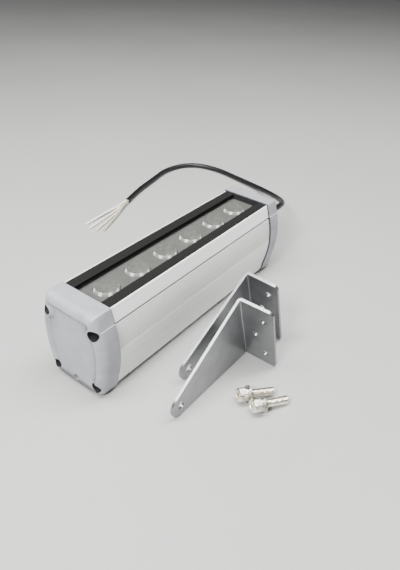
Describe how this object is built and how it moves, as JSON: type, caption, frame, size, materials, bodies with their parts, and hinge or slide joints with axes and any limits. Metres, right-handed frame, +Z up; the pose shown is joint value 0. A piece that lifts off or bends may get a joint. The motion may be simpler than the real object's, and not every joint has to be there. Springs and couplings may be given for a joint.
{
  "type": "linear floodlight",
  "caption": "Extruded aluminium floodlight with a flush glass window over collimator lenses, cast end caps, a free cable, and loose mounting brackets and bolts beside it.",
  "frame": {"origin": "middle of the light's flat underside, on the surface it lies on", "axes": "+X along the light from the plain end cap to the cable's end cap, +Y across it away from the loose brackets, +Z up, square to the window"},
  "size_m": [0.4986, 0.4288, 0.0946],
  "materials": {
    "body_aluminium": "matte silver anodised extrusion",
    "cap_paint": "satin bluish-grey paint on a casting",
    "black_rubber": "matte",
    "steel_screw": "plain steel",
    "clear_glass": "clear, flush",
    "trim_black": "matte",
    "plate_grey": "matte, behind the glass",
    "lens_clear": "clear moulded lens",
    "led_yellow": "phosphor dome",
    "board_white": "white solder resist",
    "pad_grey": "soft pad",
    "board_green": "green solder resist",
    "core_ferrite": "ferrite and tape",
    "winding_copper": "enamelled copper winding",
    "can_blue": "sleeved can",
    "chip_black": "moulded",
    "terminal_green": "moulded",
    "wire_red": "insulation",
    "wire_black": "insulation",
    "nylon_black": "moulded nylon",
    "cable_black": "matte jacket",
    "core_white": "insulation",
    "core_cream": "insulation",
    "core_beige": "insulation",
    "core_olive": "insulation",
    "bracket_steel": "satin grey coated sheet steel",
    "bolt_steel": "bright stainless steel"
  },
  "bodies": {
    "light": {"housing_profile": "body_aluminium", "near_end_cap": "cap_paint", "far_end_cap": "cap_paint", "near_end_gasket": "black_rubber", "far_end_gasket": "black_rubber", "window_seal_left": "black_rubber", "window_seal_right": "black_rubber", "gland_seal": "black_rubber", "near_cap_screws": "steel_screw", "far_cap_screws": "steel_screw", "led_board_screws": "steel_screw", "window_glass": "clear_glass", "window_trim_left": "trim_black", "window_trim_right": "trim_black", "lens_plate": "plate_grey", "lens_1": "lens_clear", "lens_2": "lens_clear", "lens_3": "lens_clear", "lens_4": "lens_clear", "lens_5": "lens_clear", "lens_6": "lens_clear", "led_1": "led_yellow", "led_2": "led_yellow", "led_3": "led_yellow", "led_4": "led_yellow", "led_5": "led_yellow", "led_6": "led_yellow", "led_board": "board_white", "thermal_pad": "pad_grey", "driver_board": "board_green", "transformer": "core_ferrite", "inductor": "winding_copper", "input_capacitor": "can_blue", "output_capacitor": "can_blue", "control_chip": "chip_black", "terminal_block": "terminal_green", "led_wire_positive": "wire_red", "led_wire_negative": "wire_black", "supply_wires": "wire_black", "gland_body": "nylon_black", "gland_nut": "nylon_black", "gland_locknut": "nylon_black", "cable_tail": "cable_black", "cable": "cable_black", "core_white": "core_white", "core_cream": "core_cream", "core_beige": "core_beige", "core_olive": "core_olive"},
    "bracket_front": {"bracket_front": "bracket_steel"},
    "bracket_rear": {"bracket_rear": "bracket_steel"},
    "bolt_front": {"bolt_front": "bolt_steel", "bolt_front_lock_washer": "bolt_steel", "bolt_front_washer": "bolt_steel"},
    "bolt_rear": {"bolt_rear": "bolt_steel", "bolt_rear_lock_washer": "bolt_steel", "bolt_rear_washer": "bolt_steel"}
  },
  "joints": [
    {"name": "bracket_front_tilt", "type": "hinge", "parent": "light", "child": "bracket_front", "pos_m": [-0.1146, -0.0964, 0.0125], "axis": [0, -1, 0], "range_deg": [0, 75]},
    {"name": "bracket_rear_tilt", "type": "hinge", "parent": "light", "child": "bracket_rear", "pos_m": [-0.0738, -0.0733, 0.0125], "axis": [-0.0593, -0.9982, 0], "range_deg": [0, 45]},
    {"name": "bolt_front_lift", "type": "slide", "parent": "light", "child": "bolt_front", "axis": [0, 0, 1], "range_m": [0, 0.05]},
    {"name": "bolt_rear_lift", "type": "slide", "parent": "light", "child": "bolt_rear", "axis": [0, 0, 1], "range_m": [0, 0.05]}
  ]
}
